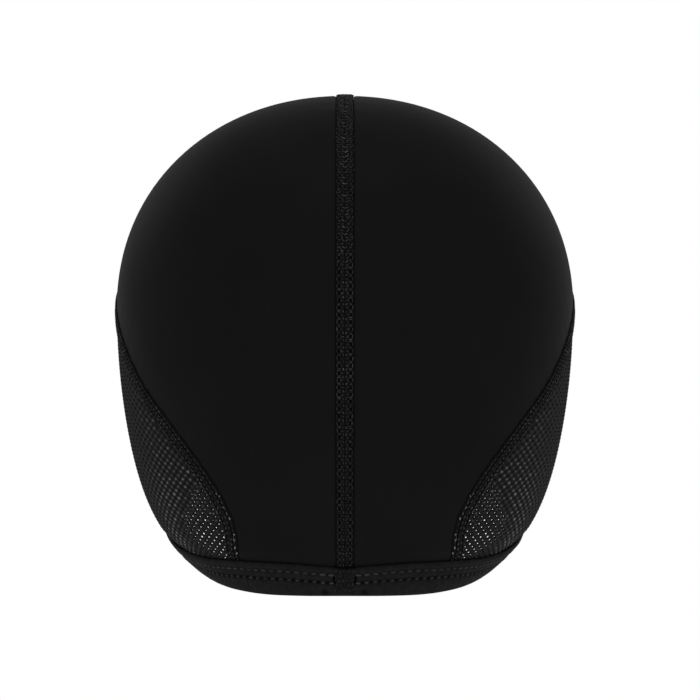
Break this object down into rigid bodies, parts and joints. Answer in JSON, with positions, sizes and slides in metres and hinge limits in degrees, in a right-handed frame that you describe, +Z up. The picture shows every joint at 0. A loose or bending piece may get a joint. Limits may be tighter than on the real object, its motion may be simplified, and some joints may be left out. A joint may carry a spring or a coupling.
{
  "type": "helmet liner cap",
  "caption": "Close-fitting stretch-knit skull cap worn under a helmet, covering ears and nape, with a flat seam over the middle, open-net ear panels and a folded lower binding.",
  "frame": {"origin": "on the middle plane, at the inside of the crown's top, where the top of the head touches the cap", "axes": "+X to the wearer's right, +Y to the wearer's face, +Z up"},
  "size_m": [0.16, 0.1948, 0.1716],
  "materials": {
    "crown_knit": "fine smooth stretch knit, black, soft sheen at grazing angles",
    "ear_net": "open knit net of black yarn with small bright glints",
    "seam_thread": "flat seam covered with glossy black overlock thread",
    "binding_knit": "folded stretch knit, black, two rows of cover stitch"
  },
  "bodies": {
    "root": {"crown_panel_right": "crown_knit", "crown_panel_left": "crown_knit", "ear_net_right": "ear_net", "ear_net_left": "ear_net", "ear_seam_right": "seam_thread", "ear_seam_left": "seam_thread", "middle_seam": "seam_thread", "hem_binding": "binding_knit"}
  },
  "joints": []
}
